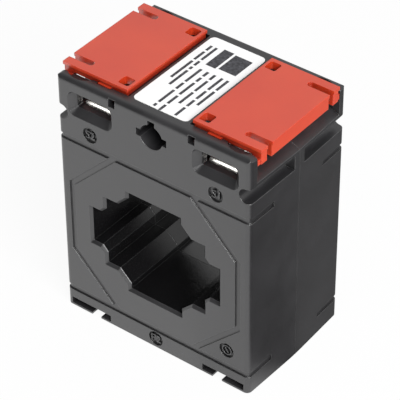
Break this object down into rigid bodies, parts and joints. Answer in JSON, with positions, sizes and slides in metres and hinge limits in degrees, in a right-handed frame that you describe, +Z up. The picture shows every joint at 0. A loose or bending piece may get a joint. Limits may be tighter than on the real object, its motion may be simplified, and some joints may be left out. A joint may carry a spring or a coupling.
{
  "type": "current transformer",
  "caption": "Moulded-case window current transformer with a stepped opening for a primary bar and hinged red covers over its secondary terminals.",
  "frame": {"origin": "centre of the base, at the height the case stands on", "axes": "+X along the front to the S1 terminals, +Y from the front face to the rear face, +Z up"},
  "size_m": [0.0624, 0.0404, 0.0783],
  "materials": {
    "case_plastic": "moulded black polycarbonate, fine texture, semi-gloss",
    "cover_plastic": "moulded red, slightly translucent, glossy",
    "label_film": "white film label, satin",
    "core_steel": "wound grain-oriented silicon steel strip",
    "insulation_tape": "insulating paper tape",
    "winding_copper": "enamelled copper wire, glossy",
    "wrap_tape": "woven finishing tape",
    "lead_enamel": "enamelled copper lead",
    "strip_nickel": "nickel-plated brass",
    "nut_steel": "zinc-plated steel",
    "clamp_nickel": "nickel-plated steel",
    "screw_steel": "zinc-plated steel"
  },
  "bodies": {
    "case": {"front_shell": "case_plastic", "rear_shell": "case_plastic", "core": "core_steel", "core_insulation": "insulation_tape", "secondary_winding": "winding_copper", "winding_wrap": "wrap_tape", "s1_lead": "lead_enamel", "s2_lead": "lead_enamel", "s1_terminal_strip": "strip_nickel", "s2_terminal_strip": "strip_nickel", "s1_front_nut": "nut_steel", "s1_rear_nut": "nut_steel", "s2_front_nut": "nut_steel", "s2_rear_nut": "nut_steel", "rating_label": "label_film"},
    "s1_cover": {"s1_cover": "cover_plastic"},
    "s2_cover": {"s2_cover": "cover_plastic"},
    "s1_front_clamp": {"s1_front_clamp": "clamp_nickel"},
    "s1_front_screw": {"s1_front_screw": "screw_steel"},
    "s1_rear_clamp": {"s1_rear_clamp": "clamp_nickel"},
    "s1_rear_screw": {"s1_rear_screw": "screw_steel"},
    "s2_front_clamp": {"s2_front_clamp": "clamp_nickel"},
    "s2_front_screw": {"s2_front_screw": "screw_steel"},
    "s2_rear_clamp": {"s2_rear_clamp": "clamp_nickel"},
    "s2_rear_screw": {"s2_rear_screw": "screw_steel"}
  },
  "joints": [
    {"name": "s1_cover_hinge", "type": "hinge", "parent": "case", "child": "s1_cover", "pos_m": [0.0293, 0, 0.0746], "axis": [0, 1, 0], "range_deg": [0, 105]},
    {"name": "s2_cover_hinge", "type": "hinge", "parent": "case", "child": "s2_cover", "pos_m": [-0.0293, 0, 0.0746], "axis": [0, -1, 0], "range_deg": [0, 105]},
    {"name": "s1_front_clamp_lift", "type": "slide", "parent": "case", "child": "s1_front_clamp", "axis": [0, 0, 1], "range_m": [0, 0.0025]},
    {"name": "s1_front_screw_turn", "type": "hinge", "parent": "s1_front_clamp", "child": "s1_front_screw", "pos_m": [0.0197, -0.0095, 0.0689], "axis": [0, 0, 1], "range_deg": [0, 1286]},
    {"name": "s1_rear_clamp_lift", "type": "slide", "parent": "case", "child": "s1_rear_clamp", "axis": [0, 0, 1], "range_m": [0, 0.0025]},
    {"name": "s1_rear_screw_turn", "type": "hinge", "parent": "s1_rear_clamp", "child": "s1_rear_screw", "pos_m": [0.0197, 0.0095, 0.0689], "axis": [0, 0, 1], "range_deg": [0, 1286]},
    {"name": "s2_front_clamp_lift", "type": "slide", "parent": "case", "child": "s2_front_clamp", "axis": [0, 0, 1], "range_m": [0, 0.0025]},
    {"name": "s2_front_screw_turn", "type": "hinge", "parent": "s2_front_clamp", "child": "s2_front_screw", "pos_m": [-0.0197, -0.0095, 0.0689], "axis": [0, 0, 1], "range_deg": [0, 1286]},
    {"name": "s2_rear_clamp_lift", "type": "slide", "parent": "case", "child": "s2_rear_clamp", "axis": [0, 0, 1], "range_m": [0, 0.0025]},
    {"name": "s2_rear_screw_turn", "type": "hinge", "parent": "s2_rear_clamp", "child": "s2_rear_screw", "pos_m": [-0.0197, 0.0095, 0.0689], "axis": [0, 0, 1], "range_deg": [0, 1286]}
  ],
  "couplings": [
    {"joint": "s1_front_screw_turn", "follows": "s1_front_clamp_lift", "rad_per_m": 8977.9},
    {"joint": "s1_rear_screw_turn", "follows": "s1_rear_clamp_lift", "rad_per_m": 8977.9},
    {"joint": "s2_front_screw_turn", "follows": "s2_front_clamp_lift", "rad_per_m": 8977.9},
    {"joint": "s2_rear_screw_turn", "follows": "s2_rear_clamp_lift", "rad_per_m": 8977.9}
  ]
}
